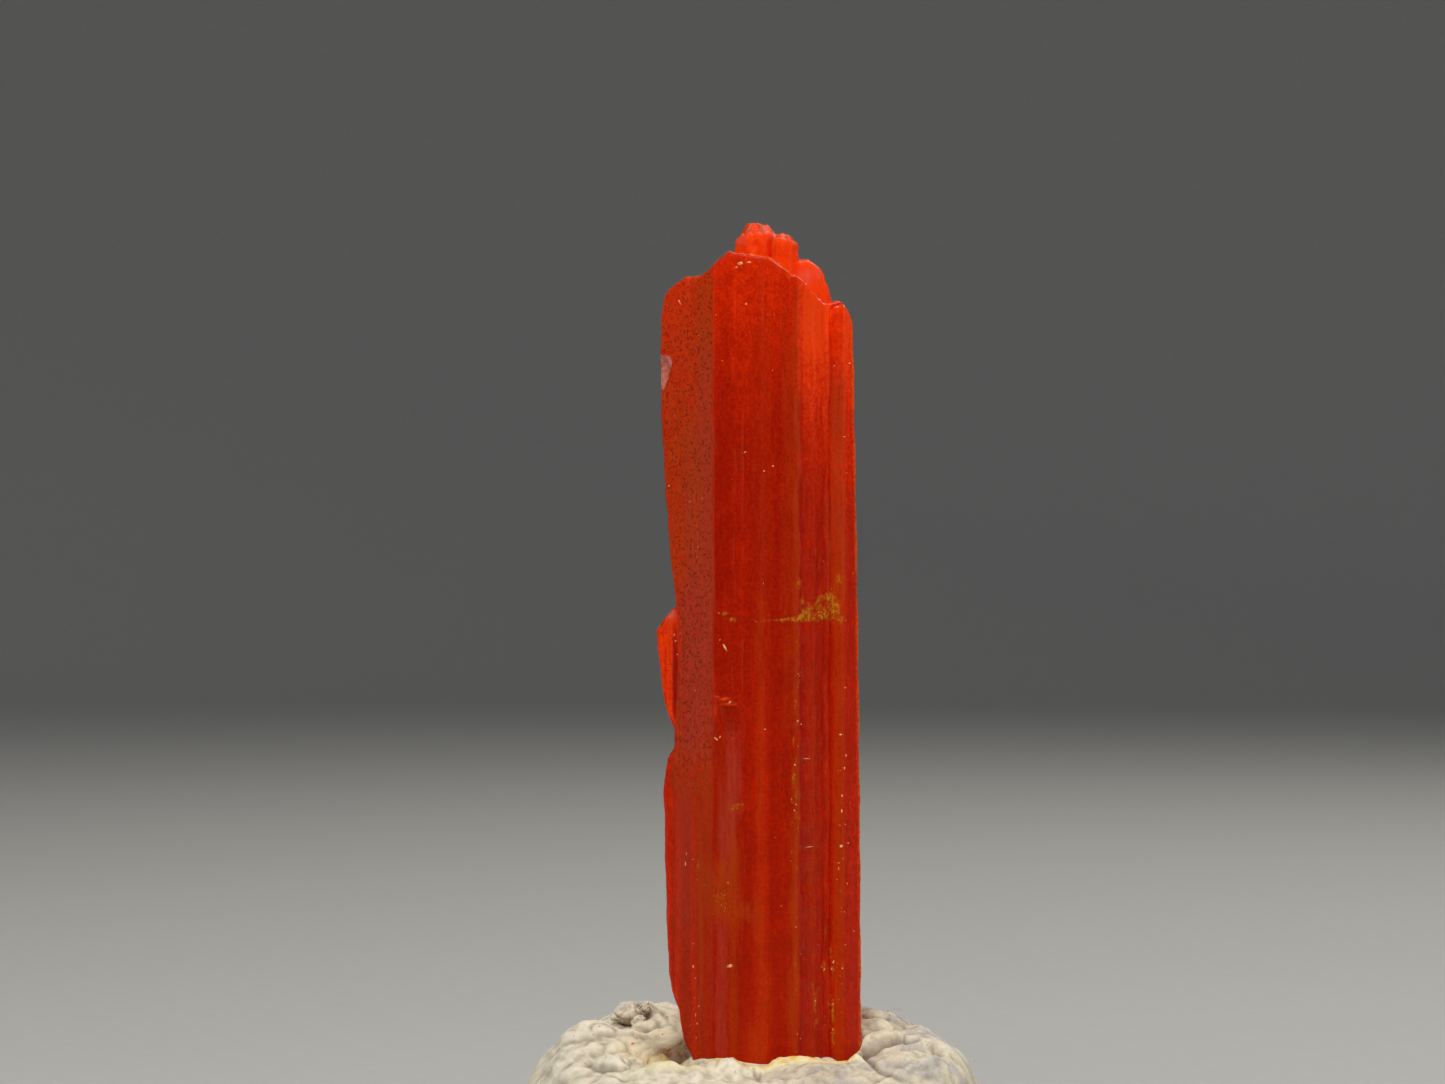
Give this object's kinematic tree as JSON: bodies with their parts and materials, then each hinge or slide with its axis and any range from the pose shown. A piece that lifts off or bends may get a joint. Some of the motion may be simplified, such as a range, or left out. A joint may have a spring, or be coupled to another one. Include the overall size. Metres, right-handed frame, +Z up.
{
  "type": "crocoite crystal specimen",
  "caption": "Long striated red crocoite crystal with stepped tips, standing upright in a rounded lump of off-white mounting putty.",
  "frame": {"origin": "on the resting surface, at the middle of the putty's flat base", "axes": "+Z up along the crystal's length, -Y towards the viewer who faces the broad striated face, +X to that viewer's right"},
  "size_m": [0.0203, 0.0183, 0.042],
  "materials": {
    "crocoite": "translucent red, adamantine on the smooth faces and matte where pitted",
    "putty": "dull off-white with grey smudges"
  },
  "bodies": {
    "root": {"crocoite_crystal": "crocoite", "putty_base": "putty"}
  },
  "joints": []
}
